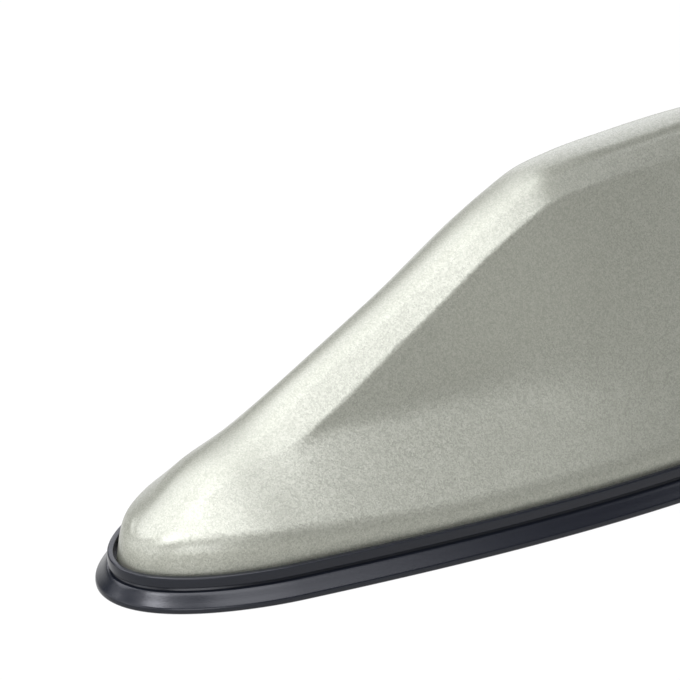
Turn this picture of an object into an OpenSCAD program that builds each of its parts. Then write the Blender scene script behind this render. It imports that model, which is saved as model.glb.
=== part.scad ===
// Shark fin roof aerial. Millimetres, +Z up, nose towards -X.
// The origin is on the stud's axis, in the roof plane that the gasket rests on.

/* [Cover] */
// Length of the gasket's lip outline, nose to tail
foot_length = 166; // [150:1:185]
// Greatest width of the gasket's lip outline
foot_width = 71; // [66:1:78]
// Height of the fin's crest above the roof
fin_height = 60.6; // [56:0.2:68]
// How far the fin's tip stands in front of the tail
tip_back = 10; // [4:0.5:16]
// Thickness of the cover's wall
wall = 2.2; // [1.8:0.1:2.6]
// Inset of the cover's lower edge from the lip outline
cover_inset = 1.7; // [1.5:0.1:2.2]
// Height of the cover's lower edge above the roof
cover_bottom = 4.6; // [4.4:0.1:5.4]
// Draft of the skirt, as sideways run for each unit of height
skirt_draft = 0.1; // [0.05:0.01:0.2]
// Round at the top of the skirt
skirt_round = 2.6; // [2:0.1:4]
// Round at the fin's shoulders
shoulder_round = 1.6; // [1.2:0.1:2.4]
// Round at the upper edge of the side recess
edge_round = 0.7; // [0.5:0.1:1.4]

/* [Gasket] */
// Height of the lip's top edge above the roof
lip_top = 6.4; // [6:0.1:6.8]
// Height of the lip's lower edge, over the neck
lip_low = 4.2; // [3.9:0.1:4.5]
// Thickness of the lip
lip_thick = 1.2; // [1:0.05:1.4]
// Depth of the neck under the lip
neck_depth = 1; // [0.6:0.1:1.4]
// Spread of the foot rim beyond the lip outline
rim_spread = 2.3; // [2:0.1:3]
// Height of the shelf under the cover's edge
shelf_top = 4.3; // [4:0.1:4.3]
// Thickness of the flange under the base plate
flange_thick = 1.6; // [1.2:0.1:2]
// Inset of the flange's inner edge from the lip outline
flange_inset = 9; // [8.6:0.1:9.4]

/* [Base plate] */
// Inset of the base plate's edge from the lip outline
plate_inset = 6.4; // [6.2:0.1:6.8]
// Thickness of the base plate's floor
plate_thick = 3; // [2.6:0.1:3.4]
// Width of the stiffening ribs
rib_thick = 1.4; // [1:0.1:2]
// Height of the stiffening ribs
rib_height = 2.2; // [1.5:0.1:3]
// Height of the posts that carry the main board
post_height = 4.6; // [4:0.1:6]
// Radius of the posts
post_r = 3; // [2.6:0.1:3.4]
// Length of the spigot that fills the roof's opening
spigot_length = 38; // [36:1:42]
// Width of the spigot
spigot_width = 22; // [20:0.5:25]
// Depth of the spigot below the roof plane
spigot_depth = 0.6; // [0.4:0.1:0.7]
// Distance from the lip's nose to the stud's axis
nose_to_stud = 88; // [80:1:92]

/* [Fixing] */
// Thickness of the roof sheet that the aerial clamps
roof_sheet = 0.8; // [0.7:0.1:1]
// Radius of the stud
stud_r = 4; // [3.5:0.5:5]
// Depth of the stud's end below the roof plane
stud_depth = 18; // [18:0.5:22]
// Radius of the pilot at the stud's end
pilot_r = 3.2; // [2:0.1:3.3]
// Span of the retainer plate across the opening
retainer_span = 33; // [32:0.5:38]
// Length of the retainer plate along the aerial
retainer_length = 15; // [14:0.5:16]
// Thickness of the retainer plate
retainer_thick = 1.6; // [1.2:0.1:2]
// Height of the retainer's claws
claw_height = 2.4; // [2:0.1:3]
// Size of the nut across its flats
nut_flats = 13; // [11:0.5:14]
// Height of the nut
nut_height = 6.5; // [5:0.5:8]
// Thickness of the hold clips' spring sheet
clip_thick = 0.5; // [0.4:0.1:0.7]
// Width of the hold clips
clip_width = 6; // [4:0.5:8]

/* [Seals] */
// Width of the cover seal's cord
seal_width = 1.5; // [1.2:0.1:1.6]
// Height of the cover seal's cord
seal_height = 1.6; // [1.4:0.1:1.8]
// Width of the roof seal's ring
roof_seal_width = 4; // [3:0.5:5]

/* [Fasteners] */
// Radius of the cover screws' heads
screw_head_r = 2.6; // [2.4:0.1:2.8]
// Radius of the cover screws' shanks
screw_r = 1.25; // [1:0.05:1.5]
// Height of the screw heads
screw_head_height = 1.4; // [1.2:0.1:1.6]
// Length of the cover screws' shanks
cover_screw_length = 11; // [9:0.5:12]
// Length of the board screws' shanks
board_screw_length = 5; // [4:0.5:5.5]
// Radius of the cover's screw bosses
boss_r = 3; // [2.6:0.1:3.2]

/* [Boards] */
// Thickness of the main board
board_thick = 1.6; // [1.2:0.1:2]
// Inset of the main board's edge from the lip outline
board_inset = 12; // [11.5:0.5:14]
// Thickness of the upright fin board
fin_board_thick = 1.2; // [0.8:0.1:1.6]
// Room between the fin board's top edge and the crest
crest_room = 9; // [8:0.5:12]
// Thickness of the top plate's sheet
sheet_thick = 0.5; // [0.4:0.1:0.6]
// Width of the top plate across the fin
top_plate_width = 7; // [5:0.5:7.5]

/* [Antenna parts] */
// Side of the satellite patch's ceramic tile
patch_side = 18; // [15:0.5:19]
// Thickness of the ceramic tile
patch_thick = 4; // [3:0.5:5]
// Radius of the coil, to the middle of its wire
coil_r = 3.6; // [3:0.1:4]
// Radius of the coil's wire
wire_r = 0.5; // [0.4:0.05:0.6]
// Turns of the coil
coil_turns = 9; // [6:1:10]
// Share of the height over the board that the coil's winding takes
coil_share = 0.6; // [0.5:0.02:0.62]
// Side of a coax jack's body
jack_side = 9; // [8:0.5:10]
// Radius of a coax jack's socket
jack_bore_r = 3.4; // [3:0.1:3.6]
// Depth of the jacks' ends below the roof plane
jack_depth = 10; // [9:0.5:10.5]

/* [Hidden] */
// Small gap between pieces that seat on each other
gap = 0.1;
// Running room round screws, stud and clips
play = 0.15;
// Overlap of two shapes that are joined into one solid
bite = 0.6;
$fn = 48;

// Stations along the nose, the flank and the tail of the outline
nose_steps = 10;
flank_steps = 22;
tail_steps = 10;
// Steps round each blend of the cover's section
blend_steps = 4;

// Guide curves of the cover. Each knot is a place along the cover, in per cent of the foot's
// length, and a value there: heights in per cent of the fin's height, half widths in per cent
// of the foot's half width.
crest_guide = [[0, 20.2], [1.8, 22.5], [4.8, 27.3], [10.2, 36], [18.1, 44.6], [25.3, 54.8],
    [39.8, 73.6], [54.2, 93.4], [58.4, 97.7], [63.3, 99.4], [72.3, 100], [100, 99]];
shoulder_guide = [[0, 0], [4.8, 6.3], [10.2, 9.2], [18.1, 9.6], [25.3, 8.2], [36, 8.7],
    [58, 10.4], [72, 11.8], [100, 10]];
shoulder_drop_guide = [[0, 0.2], [4.8, 0.3], [18, 0.7], [60, 0.8], [100, 1.3]];
edge_guide = [[0, 0], [4.8, 12], [10.2, 18.6], [18.1, 21.4], [25.3, 23.1], [36, 21.4],
    [58, 21.1], [100, 19.7]];
edge_drop_guide = [[0, 1], [4.8, 1.4], [10.2, 3.5], [18.1, 6.6], [25.3, 9.2], [36, 8.1],
    [54, 7.1], [63, 7.9], [100, 8.1]];
crease_guide = [[0, 0], [4.8, 19.8], [10.2, 28.4], [18.1, 28.7], [24, 25.9], [30, 31],
    [36, 35.5], [48, 42.3], [63, 57.5], [78, 69], [100, 69]];
crease_height_guide = [[0, 18.6], [4.8, 23.8], [10.2, 27.2], [18.1, 33.6], [24, 40.6],
    [30, 41.6], [36, 42.1], [48, 43.6], [63, 42.9], [100, 41.3]];
skirt_height_guide = [[0, 15.4], [4.8, 19.9], [10.2, 19.8], [18.1, 17.8], [30, 15.2],
    [48, 14.5], [100, 14.7]];
crease_round_guide = [[0, 3], [22, 2.6], [42, 3.6], [63, 12], [100, 14]];

// Foot outline: three cubic curves from the nose to the tail, as points [x, half width]
half_width = foot_width / 2;
nose_end = [0.158 * foot_length, 0.572 * half_width];
flank_end = [0.783 * foot_length, half_width];
flank_slope = 0.25;
outline_curves = [
    [[0, 0], [0, 0.307 * half_width], nose_end - 0.054 * foot_length * [1, flank_slope], nose_end],
    [nose_end, nose_end + 0.193 * foot_length * [1, flank_slope],
        flank_end - [0.229 * foot_length, 0], flank_end],
    [flank_end, flank_end + [0.139 * foot_length, 0], [foot_length, 0.704 * half_width],
        [foot_length, 0]]];

function curve_point(p, t) =
    (1 - t) ^ 3 * p[0] + 3 * (1 - t) ^ 2 * t * p[1] + 3 * (1 - t) * t ^ 2 * p[2] + t ^ 3 * p[3];
function curve_along(p, t) =
    (1 - t) ^ 2 * (p[1] - p[0]) + 2 * (1 - t) * t * (p[2] - p[1]) + t ^ 2 * (p[3] - p[2]);
function outward(d) = [-d[1], d[0]] / norm(d);
function spread_point(p, t, off) = curve_point(p, t) + off * outward(curve_along(p, t));

// Half of the foot outline moved outwards by off, from the nose to the tail
function half_outline(off) = [
    for (i = [0 : nose_steps - 1]) spread_point(outline_curves[0], i / nose_steps, off),
    for (i = [0 : flank_steps - 1]) spread_point(outline_curves[1], i / flank_steps, off),
    for (i = [0 : tail_steps]) let (q = spread_point(outline_curves[2], i / tail_steps, off))
        [q[0], i == tail_steps ? 0 : q[1]]];
station_count = nose_steps + flank_steps + tail_steps;

// Closed outline in the aerial's own frame
function full_outline(off) = let (h = half_outline(off)) [
    for (p = h) [p[0] - nose_to_stud, -p[1]],
    for (i = [len(h) - 2 : -1 : 1]) [h[i][0] - nose_to_stud, h[i][1]]];
foot_line = half_outline(0);
// Unit vectors in plan that point inwards, square to the outline, at each station
spread_line = half_outline(1);
inward_line = [for (i = [0 : station_count]) foot_line[i] - spread_line[i]];
function foot_half_width(x) = lookup(x + nose_to_stud, foot_line);

// Smooth curve through the knots, worked out over the square root of the place. A half width
// starts from zero and steep, a height starts level, so that the nose is round.
function last_knot(g, x, i) = i + 2 < len(g) && g[i + 1][0] <= x ? last_knot(g, x, i + 1) : i;
function knot_gap(g, i) = sqrt(g[i + 1][0]) - sqrt(g[i][0]);
function chord_slope(g, i) = (g[i + 1][1] - g[i][1]) / knot_gap(g, i);
function inner_slope(g, i) = (knot_gap(g, i) * chord_slope(g, i - 1)
    + knot_gap(g, i - 1) * chord_slope(g, i)) / (knot_gap(g, i - 1) + knot_gap(g, i));
function knot_slope(g, i) = let (n = len(g) - 1)
    i == 0 ? (g[0][1] > 0 ? 0 : 2 * chord_slope(g, 0) - inner_slope(g, 1))
    : i == n ? 2 * chord_slope(g, n - 1) - inner_slope(g, n - 1) : inner_slope(g, i);
function guide(g, x) = let (i = last_knot(g, x, 0), h = knot_gap(g, i),
    s = min(1, (sqrt(max(0, x)) - sqrt(g[i][0])) / h))
    (1 + 2 * s) * (1 - s) ^ 2 * g[i][1] + s * (1 - s) ^ 2 * h * knot_slope(g, i)
    + s ^ 2 * (3 - 2 * s) * g[i + 1][1] + s ^ 2 * (s - 1) * h * knot_slope(g, i + 1);

// Place along the cover, in per cent of the foot's length, at x from the lip's nose
function along(x) = 100 * max(0, x - cover_inset) / foot_length;
function crest_height(x) = guide(crest_guide, along(x)) * fin_height / 100;

// Narrowing of the fin round the tail, from 1 at the end of the flank to 0 at the tail
function tail_share(x, w) =
    x > flank_end[0] ? min(1, max(0, w / (half_width - cover_inset))) : 1;

// Pull of the section's corners inwards at the very nose and tail, so that the skin rounds
// over there as it does along the flanks
end_pull = [0, 0.3, 2.1, 2.4, 2.8, 3];

// Corners of the cover's half section at x from the nose, half width w and inward direction d:
// [shift along the cover, half width, height] of lower edge, skirt top, crease, recess edge,
// shoulder and crest
function corners(x, w, d) = let (a = along(x), tail = tail_share(x, w), z = crest_height(x),
    skirt = guide(skirt_height_guide, a) * fin_height / 100,
    pull = abs(d[0]) * end_pull + [0, skirt_draft * (skirt - cover_bottom), 0, 0, 0, 0],
    skirt_w = max(0, w + d[1] * pull[1]),
    across = half_width * tail / 100, up = fin_height / 100,
    y = [w, skirt_w, min(guide(crease_guide, a) * across, 0.97 * skirt_w),
        min(guide(edge_guide, a) * across, 0.9 * skirt_w),
        min(guide(shoulder_guide, a) * across, 0.6 * skirt_w), 0],
    h = [cover_bottom, skirt, guide(crease_height_guide, a) * up,
        z - guide(edge_drop_guide, a) * up, z - guide(shoulder_drop_guide, a) * up, z])
    [for (k = [0 : 5]) [d[0] * pull[k], y[k], h[k]]];

// Blend of the corner b between its neighbours a and c, cut back by up to r on each side
function cut_back(b, a, r) = let (span = max(norm(a - b), 0.001))
    b + min(r, 0.48 * span) * (a - b) / span;
function blend(a, b, c, r) = let (p = cut_back(b, a, r), q = cut_back(b, c, r))
    [for (i = [0 : blend_steps]) let (t = i / blend_steps)
        (1 - t) ^ 2 * p + 2 * t * (1 - t) * b + t ^ 2 * q];
function outer_section(x, w, d) = let (c = corners(x, w, d),
    r = [0, skirt_round, guide(crease_round_guide, along(x)), edge_round, shoulder_round])
    [c[0], for (k = [1 : 4]) each blend(c[k - 1], c[k], c[k + 1], r[k]), c[5]];

// Inner section: the corners moved inwards by the wall, square to both neighbouring sides
function side_normal(a, b) = let (d = b - a) [-d[1], d[0]] / max(norm(d), 0.001);
function mitre(n, m) = (n + m) / (1 + n * m);
function rising(z, i) = i == 0 ? z[0] : max(z[i], rising(z, i - 1) + 0.06);
function inner_section(x, w, d) = let (c = corners(x, w + wall, d),
    flat = [for (p = c) [p[1], p[2]]],
    n = [for (k = [0 : 4]) side_normal(flat[k], flat[k + 1])],
    m = [for (k = [1 : 4]) flat[k] + wall * mitre(n[k - 1], n[k])],
    share = [0.98, 0.94, 0.8, 0.6],
    y = [w, for (k = [0 : 3]) max(0.05 * w, min(m[k][0], share[k] * w)), 0],
    z = [cover_bottom, for (k = [0 : 3]) m[k][1], flat[5][1] - wall / max(0.3, -n[4][1])])
    [for (k = [0 : 5]) [c[k][0], y[k], rising(z, k)]];

// The tail leans forward with height, and the hollow inside it leans further by hollow_back
hollow_back = 6;
function lean(x, z, back) = let (ramp = max(0, (x - 0.66 * foot_length) / (0.34 * foot_length)),
    rise = min(1, max(0, (z - 0.15 * fin_height) / (0.87 * fin_height))))
    back * ramp ^ 2 * rise;

// Points of a skin over both halves. At the nose and the tail the halves share their points.
function section_points(x, s, ends, back) = let (m = len(s) - 1)
    [for (j = [0 : ends ? m : 2 * m]) let (p = j <= m ? s[j] : s[2 * m - j])
        [x + p[0] - nose_to_stud - lean(x, p[2], back), (j <= m ? -1 : 1) * p[1], p[2]]];
function skin_points(line, inner) = [
    for (i = [0 : station_count]) let (x = line[i][0], w = max(0, line[i][1]), d = inward_line[i])
        each section_points(x, inner ? inner_section(x, w, d) : outer_section(x, w, d),
            i == 0 || i == station_count, tip_back + (inner ? hollow_back : 0))];
// Index of point j in station i, of sections with m steps in each half
function skin_index(i, j, m) = i == 0 ? min(j, 2 * m - j)
    : m + 1 + (i - 1) * (2 * m + 1) + (i == station_count ? min(j, 2 * m - j) : j);
function turned(f, flip) = flip ? [f[0], f[2], f[1]] : f;
// Each side's quads are cut along mirrored diagonals, the other way at the tail, so that no
// triangle lies flat in the middle plane
function skin_faces(m, base, inside) = [
    for (i = [0 : station_count - 1], j = [0 : 2 * m - 1])
        let (a = skin_index(i, j, m), b = skin_index(i + 1, j, m),
            c = skin_index(i + 1, j + 1, m), d = skin_index(i, j + 1, m),
            near = j < m, tail = i == station_count - 1)
        each [for (f = near != tail ? [[a, d, b], [b, d, c]] : [[a, c, b], [a, d, c]])
            turned([base + f[0], base + f[1], base + f[2]], inside)]];
function rim_faces(m, k, base) = [
    for (i = [0 : station_count - 1], side = [0, 1])
        let (a = skin_index(i, side * 2 * m, m), b = skin_index(i + 1, side * 2 * m, m),
            c = base + skin_index(i + 1, side * 2 * k, k), d = base + skin_index(i, side * 2 * k, k))
        each [turned([a, b, c], side == 1), turned([a, c, d], side == 1)]];

module cover_shell() {
    outer = skin_points(half_outline(-cover_inset), false);
    inner = skin_points(half_outline(-cover_inset - wall), true);
    m = 4 * (blend_steps + 1) + 1;
    k = 5;
    polyhedron(concat(outer, inner), concat(skin_faces(m, 0, false),
        skin_faces(k, len(outer), true), rim_faces(m, k, len(outer))));
}

// Levels of the pieces inside
plate_bottom = flange_thick;
plate_top = plate_bottom + plate_thick;
seal_top = plate_top + seal_height;
ledge_low = seal_top;
ledge_thick = 1.6;
board_low = plate_top + post_height;
board_top = board_low + board_thick;
seal_inset = plate_inset + 0.6;
ledge_inset = seal_inset + seal_width + 0.2;
boss_inset = ledge_inset + boss_r + 0.8;

// Cover screws: one at the nose, then pairs along the flanks
nose_boss_x = 0.11 * foot_length - nose_to_stud;
pair_boss_x = [0.29 * foot_length, 0.62 * foot_length, 0.84 * foot_length]
    - nose_to_stud * [1, 1, 1];
boss_places = [[nose_boss_x, 0],
    for (x = pair_boss_x, side = [-1, 1]) [x, side * (foot_half_width(x) - boss_inset)]];

// Height of the cover's outer skin over a point, and the top of a boss that ends in its wall
cover_line = half_outline(-cover_inset);
function skin_height(x, y) = let (n = x + nose_to_stud,
    c = corners(n, lookup(n, cover_line), [0, -1])) lookup(-abs(y), [for (p = c) [-p[1], p[2]]]);
function boss_top(x, y) = (y == 0 ? skin_height(x - boss_r, 0)
    : skin_height(x, abs(y) + boss_r)) - 0.4 * wall;

// Ring between two outlines, and the plate inside one
module ring(outer, inner, height) {
    linear_extrude(height) difference() {
        polygon(full_outline(outer));
        polygon(full_outline(inner));
    }
}
module plate(inset, height) {
    linear_extrude(height) polygon(full_outline(-inset));
}

// Upright hole or shaft
module peg(x, y, low, high, r) {
    translate([x, y, low]) cylinder(h = high - low, r = r);
}

// Oblong with round ends along X, as a straight wall: centre, length, width, height
module oblong(length, width, height) {
    linear_extrude(height) {
        square([length - width, width], center = true);
        for (side = [-1, 1]) translate([side * (length - width) / 2, 0]) circle(d = width);
    }
}

module fin_cover() {
    color("#a9aba0") difference() {
        union() {
            cover_shell();
            translate([0, 0, ledge_low]) ring(-cover_inset - wall + bite, -ledge_inset, ledge_thick);
            for (p = boss_places)
                peg(p[0], p[1], plate_top + gap, boss_top(p[0], p[1]), boss_r);
        }
        for (p = boss_places)
            peg(p[0], p[1], plate_top - 1, cover_screw_low + cover_screw_length + 0.5, screw_r + 0.05);
    }
}

// Gasket's section, from its foot inwards and round: [distance outwards, height]
gasket_section = concat(
    [for (a = [-90 : 30 : 0]) [rim_spread - 0.5, 0.5] + 0.5 * [cos(a), sin(a)]],
    [for (a = [0 : 30 : 60]) [rim_spread - 0.4, 1.1] + 0.4 * [cos(a), sin(a)]],
    [for (t = [0.2 : 0.2 : 0.8]) let (top = [-neck_depth, lip_low - 1.1],
        foot = [rim_spread - 0.3, 1.5], pull = [-neck_depth + 0.1, 1.8])
        (1 - t) ^ 2 * foot + 2 * t * (1 - t) * pull + t ^ 2 * top],
    [[-neck_depth, lip_low - 1.1], [-neck_depth, lip_low - 0.2], [-0.2, lip_low], [0, lip_low + 0.2], [0, lip_top - 0.2],
    [-0.2, lip_top], [0.2 - lip_thick, lip_top], [-lip_thick, lip_top - 0.2],
    [-lip_thick, shelf_top], [2 * gap - plate_inset, shelf_top],
    [2 * gap - plate_inset, flange_thick],
    [-flange_inset, flange_thick], [-flange_inset, 0]]);

module base_gasket() {
    lines = [for (p = gasket_section) full_outline(p[0])];
    n = len(lines);
    m = len(lines[0]);
    color("#24262b") polyhedron(
        [for (i = [0 : m - 1], k = [0 : n - 1]) [lines[k][i][0], lines[k][i][1], gasket_section[k][1]]],
        [for (i = [0 : m - 1], k = [0 : n - 1]) let (a = i * n + k, b = i * n + (k + 1) % n,
            c = (i + 1) % m * n + (k + 1) % n, d = (i + 1) % m * n + k)
            each [[a, b, c], [a, c, d]]]);
}

// Base plate: cast floor with spigot, stud boss, ribs and posts
post_x = [0.18 * foot_length, 0.76 * foot_length] - nose_to_stud * [1, 1];
post_places = [for (x = post_x, side = [-1, 1])
    [x, side * (foot_half_width(x) - board_inset - post_r - 1)]];
spigot_x = 0.045 * foot_length;
jack_space = 1;
jack_x = 0.085 * foot_length;
jack_y = (jack_side + jack_space) / 2;
jack_pin_r = 0.5;
clip_x = retainer_length / 2 + clip_width / 2 + 0.7;
clip_top = plate_top - 1.6;
module base_plate() {
    color("#8f9194") difference() {
        union() {
            translate([0, 0, plate_bottom]) plate(plate_inset, plate_thick);
            translate([spigot_x, 0, -spigot_depth])
                oblong(spigot_length, spigot_width, plate_top + spigot_depth - 0.5);
            for (p = post_places) peg(p[0], p[1], plate_bottom + 1, board_low, post_r);
            translate([0, 0, plate_top - bite]) linear_extrude(rib_height + bite) plate_ribs();
        }
        peg(0, 0, -spigot_depth - 1, plate_top - 0.6, stud_r);
        translate([jack_x, 0, -spigot_depth - 1])
            linear_extrude(plate_top + 4) square([jack_side + 2 * play,
                2 * jack_side + jack_space + 2 * play], center = true);
        for (p = post_places)
            peg(p[0], p[1], plate_bottom + 1.5, board_low + 1, screw_r + 0.05);
        for (p = boss_places) {
            peg(p[0], p[1], plate_bottom - 1, plate_top + 1, screw_r + play);
            peg(p[0], p[1], plate_bottom - 1, cover_screw_low, screw_head_r + play);
        }
        for (side = [-1, 1]) translate([clip_x, side * spigot_width / 2, 0])
            cube([clip_width + 2 * play, 2 * (clip_thick + play), 2 * (clip_top + play)],
                center = true);
    }
}

// Ribs in plan: a hub over the stud, a cross rib through it and two long ribs beside the jacks
rib_y = jack_side + jack_space / 2 + play + 0.3 + rib_thick / 2;
module plate_ribs() {
    front = -0.2 * foot_length;
    back = 0.26 * foot_length;
    circle(r = stud_r + 4);
    square([rib_thick, 2 * rib_y], center = true);
    for (side = [-1, 1]) translate([front, side * rib_y - rib_thick / 2])
        square([back - front, rib_thick]);
}

module cover_seal() {
    color("#2c2c2c") translate([0, 0, plate_top])
        ring(-seal_inset, -seal_inset - seal_width, seal_height);
}

module roof_seal() {
    color("#303030") translate([spigot_x, 0, 0]) difference() {
        oblong(spigot_length + 2 * (roof_seal_width + gap), spigot_width + 2 * (roof_seal_width + gap),
            plate_bottom);
        translate([0, 0, -1]) oblong(spigot_length + 2 * gap, spigot_width + 2 * gap,
            plate_bottom + 2);
    }
}

module mounting_stud() {
    low = -stud_depth;
    shoulder = low + 5.4;
    top = plate_top - 0.6;
    color("#c9cacc") rotate_extrude() polygon([[0, low], [pilot_r - 0.6, low],
        [pilot_r, low + 0.6], [pilot_r, shoulder], [stud_r, shoulder + 0.7], [stud_r, top],
        [0, top]]);
}

// Retainer: a sheet plate that spans the roof's opening and bites into the sheet from below
retainer_top = -roof_sheet - claw_height;
module retainer_plate() {
    color("#b9babd") difference() {
        union() {
            translate([-retainer_length / 2, -retainer_span / 2, retainer_top - retainer_thick])
                cube([retainer_length, retainer_span, retainer_thick]);
            for (side = [-1, 1], x = [-1, 1])
                translate([x * (retainer_length / 2 - 2.5), side * retainer_span / 2,
                    retainer_top - retainer_thick])
                    rotate([90, 0, 0]) linear_extrude(retainer_thick, center = true)
                        polygon([[-2.5, 0], [2.5, 0], [2.5, retainer_thick + claw_height - 1.2],
                            [0, retainer_thick + claw_height], [-2.5,
                            retainer_thick + claw_height - 1.2]]);
        }
        peg(0, 0, retainer_top - retainer_thick - 1, retainer_top + 1, stud_r + play);
    }
}

nut_top = retainer_top - retainer_thick;
flange_height = 1.6;
module roof_nut() {
    color("#c2c3c5") difference() {
        union() {
            peg(0, 0, nut_top - flange_height, nut_top, 0.68 * nut_flats);
            translate([0, 0, nut_top - nut_height])
                cylinder(h = nut_height - flange_height + 0.1, d = nut_flats / cos(30), $fn = 6);
        }
        peg(0, 0, nut_top - nut_height - 1, nut_top + 1, stud_r + 0.02);
        for (up = [0, 1]) translate([0, 0, up ? nut_top : nut_top - nut_height])
            mirror([0, 0, up]) rotate_extrude()
                polygon([[0, -0.01], [stud_r + 0.6, -0.01], [stud_r, 0.6], [0, 0.6]]);
    }
}

// Hold clips: two springs in the spigot's sides that keep the aerial in the roof's opening
module hold_clips() {
    barb = 1.4;
    color("#d0d1d3") for (side = [-1, 1])
        translate([clip_x - clip_width / 2, side * (spigot_width / 2 - clip_thick - play / 2), 0])
            rotate([90, 0, 90]) linear_extrude(clip_width) polygon([
                [0, clip_top], [side * clip_thick, clip_top], [side * clip_thick, -roof_sheet - 0.5],
                [side * (clip_thick + barb), -roof_sheet - 1.1],
                [side * clip_thick, -roof_sheet - 2.6], [0, -roof_sheet - 2.6],
                [side * barb, -roof_sheet - 1.1], [0, -roof_sheet - 0.5]]);
}

// Pan head screw with a cross recess, head down, at the height of its head's upper side
module screw(x, y, seat, length, up) {
    translate([x, y, seat]) mirror([0, 0, up ? 0 : 1]) difference() {
        union() {
            cylinder(h = length, r = screw_r);
            translate([0, 0, -screw_head_height]) cylinder(h = screw_head_height, r = screw_head_r);
        }
        for (turn = [0, 90]) rotate(turn) translate([0, 0, -screw_head_height])
            cube([2.4, 0.6, 1.4], center = true);
    }
}
cover_screw_low = plate_bottom + screw_head_height + 0.1;
module cover_screws() {
    color("#b4b5b7") for (p = boss_places)
        screw(p[0], p[1], cover_screw_low, cover_screw_length, true);
}
module board_screws() {
    color("#b4b5b7") for (p = post_places)
        screw(p[0], p[1], board_top, board_screw_length, false);
}

// Main board: follows the foot's outline, cut away round the cover's bosses
board_start = 0.15 * foot_length - nose_to_stud;
board_end = 0.87 * foot_length - nose_to_stud;
board_line = [for (t = [0 : 0.05 : 1]) let (x = board_start + t * (board_end - board_start))
    [x, foot_half_width(x) - board_inset]];
module main_board() {
    n = len(board_line) - 1;
    color("#1f5c3a") translate([0, 0, board_low]) linear_extrude(board_thick) difference() {
        polygon(concat([for (i = [0 : n]) [board_line[i][0], -board_line[i][1]]],
            [for (i = [n : -1 : 0]) board_line[i]]));
        for (p = boss_places) translate([p[0], p[1]]) circle(r = boss_r + 3 * play);
        for (p = post_places) translate([p[0], p[1]]) circle(r = screw_r + play);
        for (side = [-1, 1]) translate([fin_board_mid + side * fin_tab_pitch, 0])
            square([fin_tab_width + 2 * gap, fin_board_thick + 2 * gap], center = true);
        translate([patch_x, 0]) circle(r = feed_r + gap);
        for (side = [-1, 1]) translate([jack_x, side * jack_y]) circle(r = jack_pin_r + gap);
    }
}

// Fin board: stands on the main board in two slots, its front edge parallel to the crest
fin_board_front = 0.47 * foot_length - nose_to_stud;
fin_board_back = 0.7 * foot_length - nose_to_stud;
fin_board_mid = (fin_board_front + fin_board_back) / 2;
fin_tab_pitch = 12;
fin_tab_width = 5;
function room_height(x) = crest_height(x + nose_to_stud) - crest_room;
fin_board_top = room_height(fin_board_back);
free_height = fin_board_top - board_top;
bend_x = 0.62 * foot_length - nose_to_stud;
module fin_board() {
    tabs = [for (side = [-1, 1]) fin_board_mid + side * fin_tab_pitch];
    hole_r = 0.8;
    color("#246a43") rotate([90, 0, 0]) linear_extrude(fin_board_thick, center = true)
        difference() {
            union() {
                polygon([[fin_board_front, board_top], [fin_board_back, board_top],
                    [fin_board_back, fin_board_top], [bend_x, fin_board_top],
                    [fin_board_front, room_height(fin_board_front)]]);
                for (x = tabs) translate([x - fin_tab_width / 2, board_low - 0.8])
                    square([fin_tab_width, board_thick + 1]);
            }
            for (x = [bend_x + 2, fin_board_back - 4]) translate([x, fin_board_top - 3])
                circle(r = hole_r);
        }
}

// Brackets: two folded feet that hold the fin board upright
module fin_board_brackets() {
    foot = 5;
    color("#c8c9ca") for (side = [-1, 1], end = [-1, 1])
        translate([fin_board_mid + end * (fin_tab_pitch + fin_tab_width + 1),
            side * fin_board_thick / 2, board_top])
            rotate([90, 0, 90]) linear_extrude(4, center = true) polygon([
                [0, 0], [side * foot, 0], [side * foot, sheet_thick],
                [side * (sheet_thick + 0.5), sheet_thick], [side * sheet_thick, sheet_thick + 0.5],
                [side * sheet_thick, foot], [0, foot]]);
}

// Top plate: a folded sheet that rides on the fin board and spans the coil behind it
top_plate_back = 0.855 * foot_length - nose_to_stud;
module top_plate() {
    drop = 0.14 * free_height;
    bevel = 0.8;
    hole_pitch = 6;
    hole_r = 1.2;
    half = top_plate_width / 2;
    length = top_plate_back - bend_x;
    color("#c4a15a") translate([bend_x, 0, fin_board_top]) rotate([90, 0, 90])
        difference() {
            linear_extrude(length) polygon([[-half, -drop], [sheet_thick - half, -drop],
                [sheet_thick - half, -1], [1 - half, 0], [half - 1, 0],
                [half - sheet_thick, -1], [half - sheet_thick, -drop], [half, -drop],
                [half, -bevel], [half - bevel, sheet_thick], [bevel - half, sheet_thick],
                [-half, -bevel]]);
            for (z = [hole_pitch : hole_pitch : length - hole_pitch])
                translate([0, 0, z]) rotate([90, 0, 0])
                    cylinder(h = 4, r = hole_r, center = true);
        }
}

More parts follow.
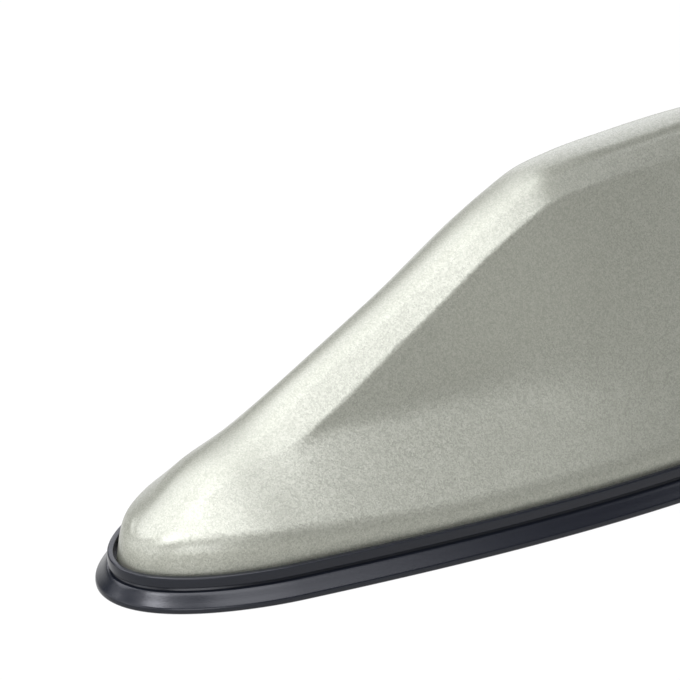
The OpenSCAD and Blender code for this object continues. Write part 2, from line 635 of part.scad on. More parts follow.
// Coil: a wire wound on a grooved former behind the fin board
coil_x = 0.765 * foot_length - nose_to_stud;
coil_low = board_top + 0.19 * free_height;
coil_length = coil_share * free_height;
coil_steps = 14;
wire_sides = 6;
module coil_wire() {
    pitch = coil_length / coil_turns;
    rings = coil_turns * coil_steps;
    climb = atan(pitch / (2 * PI * coil_r));
    color("#b06b38") translate([coil_x, 0, coil_low]) polyhedron(
        [for (i = [0 : rings], k = [0 : wire_sides - 1]) let (a = 360 * i / coil_steps,
            b = 360 * k / wire_sides, r = coil_r + wire_r * cos(b), u = wire_r * sin(b))
            [r * cos(a) + u * sin(climb) * sin(a), r * sin(a) - u * sin(climb) * cos(a),
                pitch * i / coil_steps + u * cos(climb)]],
        concat([[for (k = [wire_sides - 1 : -1 : 0]) k]],
            [[for (k = [0 : wire_sides - 1]) rings * wire_sides + k]],
            [for (i = [0 : rings - 1], k = [0 : wire_sides - 1])
                let (a = i * wire_sides + k, b = i * wire_sides + (k + 1) % wire_sides)
                each [[a, b, a + wire_sides], [b, b + wire_sides, a + wire_sides]]]));
}
module coil_former() {
    core = coil_r - wire_r - gap;
    top = fin_board_top - gap;
    color("#e2dfd2") translate([coil_x, 0, 0]) rotate_extrude() polygon([
        [0, board_top], [coil_r + 0.8, board_top], [coil_r + 0.8, board_top + 1.5],
        [core, board_top + 3], [core, top - 2], [core - 1, top], [0, top]]);
}

// Satellite patch: ceramic tile, silver electrode and feed pin
patch_x = 0.27 * foot_length - nose_to_stud;
feed_r = 0.5;
electrode_thick = 0.1;
module satellite_patch() {
    color("#d9d3c4") difference() {
        translate([patch_x - patch_side / 2, -patch_side / 2, board_top])
            cube([patch_side, patch_side, patch_thick]);
        peg(patch_x, 0, board_top - 1, board_top + patch_thick + 1, feed_r + gap);
    }
}
module patch_electrode() {
    side = patch_side - 4;
    cut = 2.5;
    color("#c9ccd0") translate([patch_x, 0, board_top + patch_thick])
        linear_extrude(electrode_thick) difference() {
            polygon([[-side / 2, cut - side / 2], [cut - side / 2, -side / 2], [side / 2, -side / 2],
                [side / 2, side / 2 - cut], [side / 2 - cut, side / 2], [-side / 2, side / 2]]);
            circle(r = feed_r + gap);
        }
}
module patch_feed_pin() {
    top = board_top + patch_thick + electrode_thick;
    color("#c6a65c") {
        peg(patch_x, 0, board_low - 1.5, top, feed_r);
        peg(patch_x, 0, top, top + 0.4, 3 * feed_r);
    }
}

// Shield can: a thin pressed box over the receiver, open below
can_size = [26, 12, 3.4];
can_place = [0.02 * foot_length, -12.6];
module shield_can() {
    vent_pitch = [4, 3.5];
    vent_r = 0.6;
    color("#c3c5c8") translate([can_place[0], can_place[1], board_top]) difference() {
        linear_extrude(can_size[2]) square([can_size[0], can_size[1]], center = true);
        translate([0, 0, -1]) linear_extrude(can_size[2] + 1 - sheet_thick)
            square([can_size[0] - 2 * sheet_thick, can_size[1] - 2 * sheet_thick], center = true);
        for (i = [-2 : 2], j = [-1 : 1])
            peg(vent_pitch[0] * i, vent_pitch[1] * j, 0, can_size[2] + 1, vent_r);
    }
}
module amplifier_chip() {
    color("#1b1b1d") translate([can_place[0], can_place[1], board_top]) {
        linear_extrude(1) square([6, 6], center = true);
    }
}

// Phone antenna: a folded sheet element at the rear of the board
phone_x = 0.855 * foot_length - nose_to_stud;
module phone_antenna() {
    height = 16;
    span = 20;
    depth = 6;
    color("#c4a15a") translate([phone_x, 0, board_top]) difference() {
        rotate([90, 0, 0]) linear_extrude(span, center = true) polygon([
            [-depth, 0], [sheet_thick - depth, 0], [sheet_thick - depth, height - sheet_thick],
            [0, height - sheet_thick], [0, height - 5], [sheet_thick, height - 5],
            [sheet_thick, height], [-depth, height]]);
        translate([-depth, 0, 5]) cube([3, 12, 6], center = true);
        translate([-depth, 6, 0]) cube([3, 6, 2.4], center = true);
    }
}

// Coax jacks: two square bodies through the spigot, each with a round socket that opens down
jack_socket_depth = 8;
module coax_jack(y, tint) {
    color(tint) difference() {
        union() {
            translate([jack_x, y, -jack_depth]) linear_extrude(jack_depth + board_low)
                square(jack_side, center = true);
            translate([jack_x + jack_side / 2, y, -jack_depth / 2])
                cube([1, 2, jack_depth / 2], center = true);
        }
        peg(jack_x, y, -jack_depth - 1, jack_socket_depth - jack_depth, jack_bore_r);
        peg(jack_x, y, -jack_depth - 1, board_low + 1, jack_pin_r + gap);
    }
}
module radio_jack() coax_jack(-jack_y, "#2a2a2c");
module satellite_jack() coax_jack(jack_y, "#2f4f86");
module jack_pins() {
    color("#c6a65c") for (side = [-1, 1])
        peg(jack_x, side * jack_y, 1.5 - jack_depth, board_top + 0.6, jack_pin_r);
}

fin_cover();
base_gasket();
base_plate();
cover_seal();
roof_seal();
mounting_stud();
retainer_plate();
roof_nut();
hold_clips();
cover_screws();
main_board();
board_screws();
fin_board();
fin_board_brackets();
top_plate();
coil_wire();
coil_former();
satellite_patch();
patch_electrode();
patch_feed_pin();
shield_can();
phone_antenna();
radio_jack();
satellite_jack();
jack_pins();
amplifier_chip();
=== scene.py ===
"""Looks of the shark fin aerial: painted fin cover on a black rubber gasket, on a white ground.

Metres, +Z up, nose towards -X, origin on the stud's axis in the roof plane.
"""
import math

import bpy
import numpy as np
from mathutils import Matrix, Vector


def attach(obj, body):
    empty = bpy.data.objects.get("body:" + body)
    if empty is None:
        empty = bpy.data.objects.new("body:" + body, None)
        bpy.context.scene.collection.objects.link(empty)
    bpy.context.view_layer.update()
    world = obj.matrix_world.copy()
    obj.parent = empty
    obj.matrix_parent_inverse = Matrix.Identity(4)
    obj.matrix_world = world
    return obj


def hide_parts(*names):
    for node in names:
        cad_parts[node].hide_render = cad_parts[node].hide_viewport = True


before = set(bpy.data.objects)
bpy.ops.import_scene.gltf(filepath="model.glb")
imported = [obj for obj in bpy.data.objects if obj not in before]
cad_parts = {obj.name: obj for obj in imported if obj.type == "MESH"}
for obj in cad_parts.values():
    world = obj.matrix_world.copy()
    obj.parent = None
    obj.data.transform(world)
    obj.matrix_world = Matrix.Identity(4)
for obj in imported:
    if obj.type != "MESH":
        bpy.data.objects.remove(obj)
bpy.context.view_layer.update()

MM = 0.001  # in metres
SHARP_ANGLE = 32  # degrees, past which an edge stays sharp

# The shapes' sizes are in millimetres, as in the part's source
LENGTH = 166.0  # of the gasket's lip outline, nose to tail
HALF = 35.5  # half the lip outline's width
HEIGHT = 60.6  # of the crest over the roof
NOSE_TO_STUD = 88.0  # from the lip's nose to the stud's axis

# The cover
WALL = 2.2
COVER_INSET = 1.7  # of its lower edge from the lip outline
COVER_BOTTOM = 4.6  # height of its lower edge
DRAFT = 0.1  # the skirt's sideways run for each unit of height
SKIRT_ROUND = 2.6  # at the top of the skirt
EDGE_ROUND = 0.7  # at the upper edge of the side recess
SHOULDER_ROUND = 1.6
END_PULL = (0, 0.3, 2.1, 2.4, 2.8, 3.0)  # of each corner inwards, at the very nose and tail
TIP_BACK = 10.0  # how far the tip stands in front of the tail
HOLLOW_BACK = 6.0  # how much further forward the hollow's tail leans
LEAN_START = 0.66  # share of the length from which the tail leans
LEAN_FOOT = 0.15  # share of the height from which it leans
LEAN_RISE = 0.87  # share of the height over which the lean grows

# Limits that keep the cover's sections in order where they are small
WIDEST = (0.97, 0.9, 0.6)  # shares of the skirt's top for the crease, recess edge and shoulder
ROUND_SHARE = 0.48  # of a side, that one round takes at most
HOLLOW_WIDEST = (0.98, 0.94, 0.8, 0.6)  # shares of the hollow's foot for its four corners
HOLLOW_NARROWEST = 0.05  # share of the hollow's foot that its corners keep
HOLLOW_LEVEL = 0.3  # upward share of the hollow's top side, at least
HOLLOW_STEP = 0.06  # rise from each corner of the hollow to the next, at least
SHORTEST = 0.001  # so that no side of no length is divided by

# Guide curves: places in per cent of the length, with heights and drops in per cent of the
# height, half widths in per cent of the half width, and the crease's round in millimetres
CREST = [[0, 20.2], [1.8, 22.5], [4.8, 27.3], [10.2, 36], [18.1, 44.6], [25.3, 54.8], [39.8, 73.6],
         [54.2, 93.4], [58.4, 97.7], [63.3, 99.4], [72.3, 100], [100, 99]]
SHOULDER = [[0, 0], [4.8, 6.3], [10.2, 9.2], [18.1, 9.6], [25.3, 8.2], [36, 8.7], [58, 10.4],
            [72, 11.8], [100, 10]]
SHOULDER_DROP = [[0, 0.2], [4.8, 0.3], [18, 0.7], [60, 0.8], [100, 1.3]]
EDGE = [[0, 0], [4.8, 12], [10.2, 18.6], [18.1, 21.4], [25.3, 23.1], [36, 21.4], [58, 21.1],
        [100, 19.7]]
EDGE_DROP = [[0, 1], [4.8, 1.4], [10.2, 3.5], [18.1, 6.6], [25.3, 9.2], [36, 8.1], [54, 7.1],
             [63, 7.9], [100, 8.1]]
CREASE = [[0, 0], [4.8, 19.8], [10.2, 28.4], [18.1, 28.7], [24, 25.9], [30, 31], [36, 35.5],
          [48, 42.3], [63, 57.5], [78, 69], [100, 69]]
CREASE_HEIGHT = [[0, 18.6], [4.8, 23.8], [10.2, 27.2], [18.1, 33.6], [24, 40.6], [30, 41.6],
                 [36, 42.1], [48, 43.6], [63, 42.9], [100, 41.3]]
SKIRT_HEIGHT = [[0, 15.4], [4.8, 19.9], [10.2, 19.8], [18.1, 17.8], [30, 15.2], [48, 14.5],
                [100, 14.7]]
CREASE_ROUND = [[0, 3], [22, 2.6], [42, 3.6], [63, 12], [100, 14]]

# The foot's outline: three cubic curves from nose to tail, as points [x, half width], which meet
# at the nose's end and the flank's end
NOSE_END = np.array([0.158 * LENGTH, 0.572 * HALF])
FLANK_END = np.array([0.783 * LENGTH, HALF])
FLANK_SLOPE = 0.25
ALONG = LENGTH * np.array([1, FLANK_SLOPE])
OUTLINE = [
    [(0, 0), (0, 0.307 * HALF), NOSE_END - 0.054 * ALONG, NOSE_END],
    [NOSE_END, NOSE_END + 0.193 * ALONG, FLANK_END - (0.229 * LENGTH, 0), FLANK_END],
    [FLANK_END, FLANK_END + (0.139 * LENGTH, 0), (LENGTH, 0.704 * HALF), (LENGTH, 0)]]
OUTLINE_STEPS = (40, 88, 40)
BLEND_STEPS = 12  # round each corner of the cover's section

# The gasket's section, [distance outwards from the lip outline, height]
RIM_SPREAD = 2.3
RIM_LOW_ROUND = 0.5
RIM_TOP_ROUND = 0.7
RIM_TOP = 0.9  # height from which the rim's upper round starts
FOOT_SLOPE = [(1.62, 1.9), (1.15, 2.43), (0.7, 3.0)]
BROW = (0.05, 3.2)  # centre of the round where the foot's slope ends
BROW_ROUND = 0.35
GROOVE_MOUTH = (-0.45, 3.66)
GROOVE = (-0.42, 4.02)  # centre of the round inside the groove under the lip
GROOVE_ROUND = 0.18
LIP_LOW = 4.2
LIP_TOP = 6.4
LIP_THICK = 1.2
LIP_ROUND = 0.3
SHELF_TOP = 4.3  # under the cover's edge
SEAT_INSET = 6.2  # of the wall that the base plate stands in
FLANGE_THICK = 1.6  # under the base plate
FLANGE_INSET = 9.0


def guide(knots, place):
    """A smooth curve through the knots: cubic pieces over the square root of the place, with the
    slope at each knot weighed from the chords on both sides. A half width starts from zero and
    steep, a height starts level, so that the nose is round."""
    g = np.asarray(knots, float)
    u, v = np.sqrt(g[:, 0]), g[:, 1]
    h = np.diff(u)
    chord = np.diff(v) / h
    slope = np.empty(len(v))
    slope[1:-1] = (h[1:] * chord[:-1] + h[:-1] * chord[1:]) / (h[1:] + h[:-1])
    slope[0] = 0 if v[0] > 0 else 2 * chord[0] - slope[1]
    slope[-1] = 2 * chord[-1] - slope[-2]
    t = np.sqrt(np.maximum(0, place))
    i = np.clip(np.searchsorted(u, t, side="right") - 1, 0, len(h) - 1)
    s = np.minimum(1, (t - u[i]) / h[i])
    return ((1 + 2 * s) * (1 - s) ** 2 * v[i] + s * (1 - s) ** 2 * h[i] * slope[i]
            + s ** 2 * (3 - 2 * s) * v[i + 1] + s ** 2 * (s - 1) * h[i] * slope[i + 1])


def half_outline(off):
    """Stations on the foot's outline from nose to tail: points of the three cubic curves, each
    moved by off along the curve's direction turned a quarter left, which is outwards."""
    out = []
    for curve, steps in zip(OUTLINE, OUTLINE_STEPS):
        p = np.array(curve, float)
        t = np.linspace(0, 1, steps + 1)[:, None]
        point = ((1 - t) ** 3 * p[0] + 3 * (1 - t) ** 2 * t * p[1] + 3 * (1 - t) * t ** 2 * p[2]
                 + t ** 3 * p[3])
        d = ((1 - t) ** 2 * (p[1] - p[0]) + 2 * (1 - t) * t * (p[2] - p[1])
             + t ** 2 * (p[3] - p[2]))
        d /= np.linalg.norm(d, axis=1)[:, None]
        out.append(point + off * np.stack([-d[:, 1], d[:, 0]], 1))
    line = np.concatenate([out[0][:-1], out[1][:-1], out[2]])
    line[0, 1] = line[-1, 1] = 0
    return line


def along(x):
    """Place along the cover, in per cent of the length, at x from the lip's nose."""
    return 100 * np.maximum(0, x - COVER_INSET) / LENGTH


def corners(x, w, d):
    """Corners of the cover's half section at x from the nose, for the half width w and the
    inward direction d: lower edge, skirt top, crease, recess edge, shoulder and crest, as
    [shift along the cover, half width, height]. The guide curves give the widths and heights.
    Round the nose and the tail the upper corners are pulled inwards, so that the skin rounds
    over there as it does along the flanks."""
    a = along(x)
    tail = np.where(x > FLANK_END[0], np.clip(w / (HALF - COVER_INSET), 0, 1), 1)
    up, across = HEIGHT / 100, HALF * tail / 100
    crest = guide(CREST, a) * up
    skirt = guide(SKIRT_HEIGHT, a) * up
    pull = abs(d[:, :1]) * np.array(END_PULL)
    pull[:, 1] += DRAFT * (skirt - COVER_BOTTOM)
    skirt_w = np.maximum(0, w + d[:, 1] * pull[:, 1])
    widths = [w, skirt_w]
    for knots, share in zip((CREASE, EDGE, SHOULDER), WIDEST):
        widths.append(np.minimum(guide(knots, a) * across, share * skirt_w))
    widths.append(0 * w)
    heights = [0 * w + COVER_BOTTOM, skirt, guide(CREASE_HEIGHT, a) * up,
               crest - guide(EDGE_DROP, a) * up, crest - guide(SHOULDER_DROP, a) * up, crest]
    return np.stack([d[:, :1] * pull, np.stack(widths, 1), np.stack(heights, 1)], -1)


def cut_back(corner, neighbour, r):
    """The point r from the corner towards its neighbour, or ROUND_SHARE of the way if that is
    nearer."""
    side = neighbour - corner
    span = np.maximum(np.linalg.norm(side, axis=1), SHORTEST)
    return corner + (np.minimum(r, ROUND_SHARE * span) / span)[:, None] * side


def outer_sections(x, w, d):
    """Half sections of the outer skin: each corner is rounded by a quadratic curve between the
    cut back points on its two sides, with the corner itself as the curve's middle point."""
    c = corners(x, w, d)
    rounds = (SKIRT_ROUND, guide(CREASE_ROUND, along(x)), EDGE_ROUND, SHOULDER_ROUND)
    t = np.linspace(0, 1, BLEND_STEPS + 1)[None, :, None]
    rows = [c[:, :1]]
    for k, r in enumerate(rounds, 1):
        p = cut_back(c[:, k], c[:, k - 1], r)
        q = cut_back(c[:, k], c[:, k + 1], r)
        rows.append((1 - t) ** 2 * p[:, None] + 2 * t * (1 - t) * c[:, k, None]
                    + t ** 2 * q[:, None])
    rows.append(c[:, 5:])
    return np.concatenate(rows, 1)


def inner_sections(x, w, d):
    """Half sections of the hollow: each outer corner moves inwards by the wall, square to both
    its sides, which is the sum of their unit normals over one plus the normals' product. The
    half widths are kept within shares of w, and each corner lies above the one before."""
    c = corners(x, w + WALL, d)
    e = np.diff(c[..., 1:], axis=1)
    span = np.maximum(np.linalg.norm(e, axis=2), SHORTEST)
    n = np.stack([-e[..., 1], e[..., 0]], -1) / span[..., None]
    mitre = (n[:, :-1] + n[:, 1:]) / (1 + (n[:, :-1] * n[:, 1:]).sum(2))[..., None]
    m = c[:, 1:5, 1:] + WALL * mitre
    y = np.minimum(m[..., 0], np.array(HOLLOW_WIDEST) * w[:, None])
    y = np.maximum(HOLLOW_NARROWEST * w[:, None], y)
    top = c[:, 5, 2] - WALL / np.maximum(HOLLOW_LEVEL, -n[:, 4, 1])
    z = np.column_stack([0 * w + COVER_BOTTOM, m[..., 1], top])
    steps = HOLLOW_STEP * np.arange(z.shape[1])
    z = np.maximum.accumulate(z - steps, axis=1) + steps
    return np.stack([c[..., 0], np.column_stack([w, y, 0 * w]), z], -1)


def both_halves(x, sections, back):
    """Points of a skin over both halves, and their numbers as a grid: the left half from the
    lower edge up, then the right half from the crest down. The tail leans forward by back,
    times the squared share of the way to the tail, times the share of the height. At the nose
    and the tail the two halves share their points."""
    m = sections.shape[1] - 1
    halves = np.concatenate([sections * (1, -1, 1), sections[:, m - 1::-1]], 1)
    shift, y, z = halves.transpose(2, 0, 1)
    ramp = np.maximum(0, (x / LENGTH - LEAN_START) / (1 - LEAN_START))[:, None]
    rise = np.clip((z / HEIGHT - LEAN_FOOT) / LEAN_RISE, 0, 1)
    px = x[:, None] + shift - NOSE_TO_STUD - back * ramp ** 2 * rise
    grid = np.arange(y.size).reshape(y.shape)
    for row in (0, -1):
        grid[row, m + 1:] = grid[row, m - 1::-1]
    return np.stack([px, y, z], -1).reshape(-1, 3), grid


def quads_of(grid):
    """The quads between neighbouring rows and columns of a grid of point numbers."""
    return np.stack([grid[:-1, :-1], grid[:-1, 1:], grid[1:, 1:], grid[1:, :-1]], -1).reshape(-1, 4)


def mesh_object(name, points, quads):
    """A mesh in metres from points in millimetres. Points that no quad uses are left out, and
    edges past SHARP_ANGLE stay sharp."""
    used, numbers = np.unique(quads, return_inverse=True)
    quads = numbers.reshape(quads.shape)
    mesh = bpy.data.meshes.new(name)
    mesh.vertices.add(len(used))
    mesh.vertices.foreach_set("co", (points[used] * MM).astype(np.float32).ravel())
    mesh.loops.add(quads.size)
    mesh.loops.foreach_set("vertex_index", quads.astype(np.int32).ravel())
    mesh.polygons.add(len(quads))
    mesh.polygons.foreach_set("loop_start", np.arange(0, quads.size, 4, dtype=np.int32))
    mesh.update(calc_edges=True)
    mesh.validate()
    mesh.polygons.foreach_set("use_smooth", np.ones(len(mesh.polygons), bool))
    mesh.set_sharp_from_angle(angle=math.radians(SHARP_ANGLE))
    obj = bpy.data.objects.new(name, mesh)
    bpy.context.scene.collection.objects.link(obj)
    return obj


def cover_skin():
    """The fin cover as a closed shell: the outer sections along the outline moved inwards by the
    inset, the inner ones along the outline moved inwards by the wall too, and the rim between
    their lower edges."""
    line = half_outline(-COVER_INSET)
    hollow = half_outline(-COVER_INSET - WALL)
    inward = half_outline(0) - half_outline(1)
    outer, grid = both_halves(line[:, 0], outer_sections(*line.T, inward), TIP_BACK)
    inner, core = both_halves(hollow[:, 0], inner_sections(*hollow.T, inward),
                              TIP_BACK + HOLLOW_BACK)
    core = core + len(outer)
    rim = np.concatenate([quads_of(np.stack([grid[:, 0], core[:, 0]], 1)),
                          quads_of(np.stack([core[:, -1], grid[:, -1]], 1))])
    quads = np.concatenate([quads_of(grid)[:, ::-1], quads_of(core), rim])
    return mesh_object("cover_surface", np.concatenate([outer, inner]), quads)


def arc(centre, r, start, end, n):
    """A number of points on a circle's arc round the centre, from start to end in degrees."""
    a = np.radians(np.linspace(start, end, n))
    return np.stack([centre[0] + r * np.cos(a), centre[1] + r * np.sin(a)], 1)


def gasket_skin():
    """The gasket as a closed ring: its section is carried round the foot's outline, each point
    on the outline moved outwards by the point's distance. The section runs up over the rim and
    the foot's slope, into the groove, round the lip, and down the inside to the roof."""
    lip_side, lip_edge = LIP_ROUND - LIP_THICK, LIP_TOP - LIP_ROUND
    section = np.concatenate([
        arc((RIM_SPREAD - RIM_LOW_ROUND, RIM_LOW_ROUND), RIM_LOW_ROUND, -90, 0, 6),
        arc((RIM_SPREAD - RIM_TOP_ROUND, RIM_TOP), RIM_TOP_ROUND, 0, 44, 6), FOOT_SLOPE,
        arc(BROW, BROW_ROUND, 50, 100, 4), [GROOVE_MOUTH], arc(GROOVE, GROOVE_ROUND, 180, 100, 4),
        arc((-LIP_ROUND, LIP_LOW + LIP_ROUND), LIP_ROUND, -90, 0, 5),
        arc((-LIP_ROUND, lip_edge), LIP_ROUND, 0, 90, 6),
        arc((lip_side, lip_edge), LIP_ROUND, 90, 180, 6),
        [(-LIP_THICK, SHELF_TOP), (-SEAT_INSET, SHELF_TOP), (-SEAT_INSET, FLANGE_THICK),
         (-FLANGE_INSET, FLANGE_THICK), (-FLANGE_INSET, 0)]])
    line = half_outline(0)
    half = line + section[:, None, :1] * (half_outline(1) - line)
    ring = np.concatenate([half * (1, -1), half[:, -2:0:-1]], 1) - (NOSE_TO_STUD, 0)
    height = np.broadcast_to(section[:, None, 1:], (*ring.shape[:2], 1))
    points = np.concatenate([ring, height], 2).reshape(-1, 3)
    grid = np.arange(len(points)).reshape(ring.shape[:2])
    grid = np.pad(grid, ((0, 1), (0, 1)), mode="wrap")
    return mesh_object("gasket_surface", points, quads_of(grid))


class Tree:
    """The nodes of a material or of the world, with a helper that adds to them."""

    def __init__(self, owner):
        owner.use_nodes = True
        self.nodes, self.links = owner.node_tree.nodes, owner.node_tree.links

    def add(self, kind, links=(), **values):
        """A new node with these values, and with links from sockets to its inputs."""
        node = self.nodes.new(kind)
        for key, value in values.items():
            if hasattr(node, key):
                setattr(node, key, value)
            else:
                node.inputs[key.replace("_", " ")].default_value = value
        for source, target in links:
            self.links.new(source, node.inputs[target])
        return node


class Finish(Tree):
    """A material with one principled shader, which takes the values given."""

    def __init__(self, name, **values):
        self.mat = bpy.data.materials.new(name)
        super().__init__(self.mat)
        self.shader = self.nodes["Principled BSDF"]
        for key, value in values.items():
            self.shader.inputs[key.replace("_", " ")].default_value = value
        self.place = self.nodes.new("ShaderNodeTexCoord").outputs["Object"]

    def to(self, source, target):
        """Links a socket to one of the shader's inputs."""
        self.links.new(source, self.shader.inputs[target])


FLAKES = 4000.0  # to the metre
FLAKE_DARK = (0.188, 0.191, 0.153, 1)
FLAKE_LIGHT = (0.294, 0.298, 0.245, 1)
FLAKE_TURN = 0.1  # how far a flake tips, as a share of the skin's normal
RUBBER_GRAIN = 0.0001  # depth of the grain, in metres


def paint():
    """Champagne silver paint: fine metal flakes, each a little lighter or darker and turned a
    little its own way, under a clear coat."""
    m = Finish("cover_paint", Metallic=0.6, Roughness=0.42, Coat_Weight=0.4, Coat_Roughness=0.25)
    cells = m.add("ShaderNodeTexVoronoi", [(m.place, "Vector")], Scale=FLAKES).outputs["Color"]
    shade = m.add("ShaderNodeMix", [(cells, "Factor")], data_type="RGBA")
    shade.inputs["A"].default_value = FLAKE_DARK
    shade.inputs["B"].default_value = FLAKE_LIGHT
    m.to(shade.outputs["Result"], "Base Color")
    centred = m.add("ShaderNodeVectorMath", [(cells, 0)], operation="SUBTRACT")
    centred.inputs[1].default_value = (0.5, 0.5, 0.5)
    small = m.add("ShaderNodeVectorMath", [(centred.outputs[0], 0)], operation="SCALE",
                  Scale=FLAKE_TURN)
    normal = m.add("ShaderNodeNewGeometry").outputs["Normal"]
    tilt = m.add("ShaderNodeVectorMath", [(small.outputs[0], 0), (normal, 1)], operation="ADD")
    unit = m.add("ShaderNodeVectorMath", [(tilt.outputs[0], 0)], operation="NORMALIZE")
    m.to(unit.outputs[0], "Normal")
    return m.mat


def rubber(name, colour, rough, grain):
    """Moulded rubber with a faint grain."""
    m = Finish(name, Base_Color=(*colour, 1), Roughness=rough, Specular_IOR_Level=0.3)
    noise = m.add("ShaderNodeTexNoise", [(m.place, "Vector")], Scale=grain, Detail=3.0)
    bump = m.add("ShaderNodeBump", [(noise.outputs["Fac"], "Height")], Strength=0.12,
                 Distance=RUBBER_GRAIN)
    m.to(bump.outputs[0], "Normal")
    return m.mat


def worked(name, colour, metallic, rough, scale=300.0, depth=0.08):
    """Metal, plastic or ceramic with a slight unevenness in its shine."""
    m = Finish(name, Base_Color=(*colour, 1), Metallic=metallic)
    noise = m.add("ShaderNodeTexNoise", [(m.place, "Vector")], Scale=scale, Detail=4.0)
    spread = m.add("ShaderNodeMapRange", [(noise.outputs["Fac"], "Value")], To_Min=rough - depth,
                   To_Max=rough + depth)
    m.to(spread.outputs[0], "Roughness")
    return m.mat


cover = cover_skin()
gasket = gasket_skin()
cover.data.materials.append(paint())
gasket.data.materials.append(rubber("gasket_rubber", (0.005, 0.006, 0.009), 0.24, 2500.0))
for piece, node in ((cover, "fin_cover"), (gasket, "base_gasket")):
    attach(piece, "root")
    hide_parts(node)

# The finishes of the pieces inside and under the foot, which keep their solids
for material, names in (
        (rubber("seal_rubber", (0.02, 0.02, 0.02), 0.6, 3000.0), ("cover_seal", "roof_seal")),
        (worked("cast_metal", (0.38, 0.39, 0.40), 1.0, 0.5, 900.0, 0.12), ("base_plate",)),
        (worked("zinc_plating", (0.60, 0.61, 0.64), 1.0, 0.32),
         ("mounting_stud", "retainer_plate", "roof_nut", "cover_screws", "board_screws")),
        (worked("spring_steel", (0.5, 0.51, 0.53), 1.0, 0.25), ("hold_clips",)),
        (worked("tinned_sheet", (0.68, 0.69, 0.71), 1.0, 0.26),
         ("fin_board_brackets", "shield_can")),
        (worked("brass_sheet", (0.66, 0.47, 0.20), 1.0, 0.28), ("top_plate", "phone_antenna")),
        (worked("copper_wire", (0.56, 0.22, 0.09), 1.0, 0.25), ("coil_wire",)),
        (worked("silver_film", (0.72, 0.73, 0.75), 1.0, 0.35), ("patch_electrode",)),
        (worked("gold_contact", (0.75, 0.55, 0.20), 1.0, 0.2), ("patch_feed_pin", "jack_pins")),
        (worked("board_green", (0.02, 0.13, 0.06), 0.0, 0.3), ("main_board", "fin_board")),
        (worked("former_plastic", (0.66, 0.62, 0.52), 0.0, 0.45), ("coil_former",)),
        (worked("patch_ceramic", (0.62, 0.56, 0.44), 0.0, 0.5), ("satellite_patch",)),
        (worked("black_plastic", (0.02, 0.02, 0.022), 0.0, 0.45), ("radio_jack", "amplifier_chip")),
        (worked("blue_plastic", (0.02, 0.06, 0.2), 0.0, 0.4), ("satellite_jack",))):
    for node in names:
        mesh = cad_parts[node].data
        mesh.materials.clear()
        mesh.materials.append(material)

FLOOR_HALF = 3.0  # half the floor's side, in metres
FLOOR_WHITE = 0.8
FLOOR_GLOW = 0.96  # the background's share in the floor, which leaves room for a faint shadow
SKY_COLOUR = (0.9, 0.93, 1.0, 1)
SKY_LIGHT = 0.03
# The upward share of a mirrored ray, from white at the horizon to dim overhead
SKY_BAND = {"From_Min": 0.05, "From_Max": 0.36, "To_Min": 1.0, "To_Max": 0.1}


def background_rays(tree):
    """1 for the rays that see the white background: from the eye, and those that metal and glass
    mirror or let through."""
    path = tree.add("ShaderNodeLightPath")
    total = path.outputs["Is Camera Ray"]
    for kind in ("Is Glossy Ray", "Is Transmission Ray"):
        both = tree.add("ShaderNodeMath", [(total, 0), (path.outputs[kind], 1)],
                        operation="MAXIMUM")
        total = both.outputs[0]
    return total


def ground():
    """A white floor in the roof plane that keeps a faint shadow."""
    mesh = bpy.data.meshes.new("floor")
    r = FLOOR_HALF
    mesh.from_pydata([(-r, -r, 0), (r, -r, 0), (r, r, 0), (-r, r, 0)], [], [(0, 1, 2, 3)])
    obj = bpy.data.objects.new("floor", mesh)
    bpy.context.scene.collection.objects.link(obj)
    mat = bpy.data.materials.new("floor_white")
    tree = Tree(mat)
    tree.nodes.clear()
    paper = tree.add("ShaderNodeBsdfDiffuse", Color=(FLOOR_WHITE, FLOOR_WHITE, FLOOR_WHITE, 1))
    glow = tree.add("ShaderNodeEmission", Strength=1.0)
    part = tree.add("ShaderNodeMath", [(background_rays(tree), 0)], operation="MULTIPLY")
    part.inputs[1].default_value = FLOOR_GLOW
    mix = tree.add("ShaderNodeMixShader", [(part.outputs[0], 0), (paper.outputs[0], 1),
                                           (glow.outputs[0], 2)])
    tree.add("ShaderNodeOutputMaterial", [(mix.outputs[0], "Surface")])
    mesh.materials.append(mat)


def sky():
    """White to the eye. In mirrored rays it is white round the horizon and dim overhead, and as
    light it is faint."""
    world = bpy.data.worlds.new("studio")
    bpy.context.scene.world = world
    tree = Tree(world)
    back = tree.nodes["Background"]
    back.inputs["Color"].default_value = SKY_COLOUR
    back.inputs["Strength"].default_value = SKY_LIGHT
    direction = tree.add("ShaderNodeTexCoord").outputs["Generated"]
    parts = tree.add("ShaderNodeSeparateXYZ", [(direction, 0)])
    fade = tree.add("ShaderNodeMapRange", [(parts.outputs["Z"], "Value")],
                    interpolation_type="SMOOTHSTEP", **SKY_BAND)
    eye = tree.add("ShaderNodeLightPath").outputs["Is Camera Ray"]
    white = tree.add("ShaderNodeMath", [(fade.outputs[0], 0), (eye, 1)], operation="MAXIMUM")
    wall = tree.add("ShaderNodeBackground", [(white.outputs[0], "Strength")], Color=(1, 1, 1, 1))
    mix = tree.add("ShaderNodeMixShader", [(background_rays(tree), 0), (back.outputs[0], 1),
                                           (wall.outputs[0], 2)])
    tree.links.new(mix.outputs[0], tree.nodes["World Output"].inputs["Surface"])


LAMP_COLOUR = (0.97, 0.98, 1.05)
LAMP_AIM = Vector((0, 0, 0.02))  # metres, on the stud's axis inside the cover


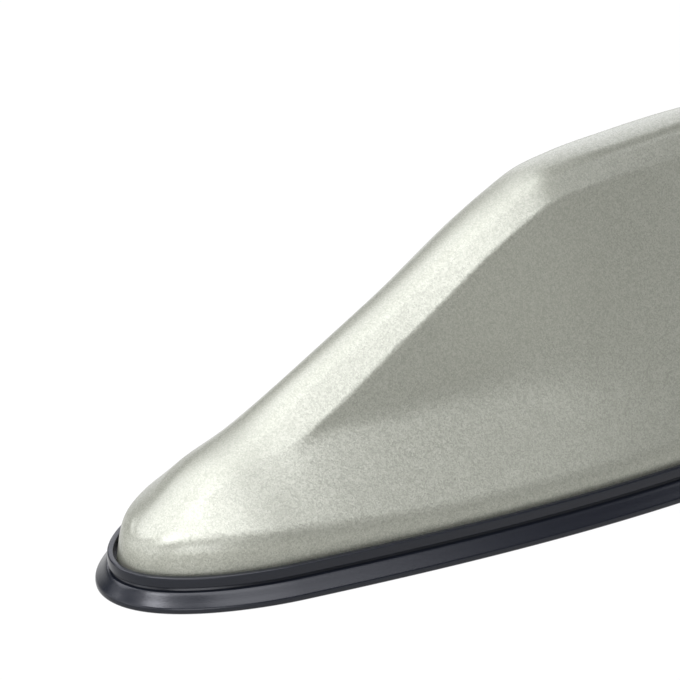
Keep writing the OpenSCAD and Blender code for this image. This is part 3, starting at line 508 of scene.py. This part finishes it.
def lamp(name, towards, distance, size, level):
    """A rectangular soft lamp in that direction from the aerial, in metres. The level is its
    brightness, where 1 is a white sheet."""
    data = bpy.data.lights.new(name, "AREA")
    data.shape = "RECTANGLE"
    data.size, data.size_y = size
    data.energy = level * math.pi * size[0] * size[1]
    data.color = LAMP_COLOUR
    obj = bpy.data.objects.new(name, data)
    obj.location = Vector(towards).normalized() * distance
    obj.rotation_mode = "QUATERNION"
    obj.rotation_quaternion = (LAMP_AIM - obj.location).to_track_quat("-Z", "Y")
    bpy.context.scene.collection.objects.link(obj)


ground()
sky()
for name, towards, distance, size, level in (
        ("top", (-0.1, 0, 1), 1.0, (0.7, 0.7), 4.2),
        ("top_left", (-0.7, -0.1, 0.72), 1.0, (0.6, 0.6), 1.4),
        ("nose_glint", (-0.58, -0.12, 0.8), 1.0, (0.26, 0.26), 15.0),
        ("nose_top", (-0.45, -0.25, 0.85), 1.0, (0.5, 0.5), 2.2),
        ("bevel_up", (-0.1, -0.45, 0.9), 1.0, (0.4, 0.4), 2.0),
        ("front_up", (-0.02, -0.59, 0.85), 1.1, (0.6, 0.5), 4.3),
        ("front_left", (-0.5, -0.74, 0.46), 1.2, (0.7, 0.5), 1.8),
        ("front_left_low", (-0.62, -0.78, 0.16), 1.3, (0.7, 0.42), 5.0),
        ("right_front", (0.66, -0.44, 0.62), 1.2, (0.4, 0.36), 2.2),
        ("left_low", (-1, -0.1, 0.18), 1.1, (0.8, 0.36), 2.6),
        ("left_up", (-0.9, 0.2, 0.5), 1.1, (0.6, 0.5), 1.4),
        ("left_back", (-0.8, 0.6, 0.3), 1.1, (0.7, 0.5), 1.7),
        ("top_back", (-0.4, 0.6, 0.8), 1.0, (0.6, 0.6), 5.0),
        ("back_up", (0.1, 0.5, 0.85), 1.0, (0.5, 0.5), 2.5),
        ("right_back", (0.6, 0.7, 0.45), 1.1, (0.8, 0.6), 2.0)):
    lamp(name, towards, distance, size, level)

# The camera that was fitted to the photograph: degrees, metres, and the lens in millimetres
CAMERA_TURN = 40
CAMERA_RISE = 25
CAMERA_AIM = Vector((-0.008, 0, 0.02))
CAMERA_DISTANCE = 1.2
CAMERA_LENS = 332.64
CAMERA_SENSOR = 36
CAMERA_SHIFT = (-0.16372, 0.06379)
CAMERA_RANGE = (0.1, 20)


def camera():
    """The camera stands back from its aim, turned from the aerial's side towards the nose and
    raised, with its third axis pointing away from the aim."""
    a, e = math.radians(CAMERA_TURN), math.radians(CAMERA_RISE)
    right = Vector((math.cos(a), -math.sin(a), 0))
    back = Vector((-math.sin(a) * math.cos(e), -math.cos(a) * math.cos(e), math.sin(e)))
    axes = Matrix((right, back.cross(right), back)).transposed().to_4x4()
    data = bpy.data.cameras.new("camera")
    data.lens = CAMERA_LENS
    data.sensor_width = CAMERA_SENSOR
    data.shift_x, data.shift_y = CAMERA_SHIFT
    data.clip_start, data.clip_end = CAMERA_RANGE
    obj = bpy.data.objects.new("camera", data)
    obj.matrix_world = Matrix.Translation(CAMERA_AIM + back * CAMERA_DISTANCE) @ axes
    bpy.context.scene.collection.objects.link(obj)
    bpy.context.scene.camera = obj


camera()
bpy.context.scene.render.engine = "CYCLES"
bpy.context.scene.view_settings.view_transform = "Standard"
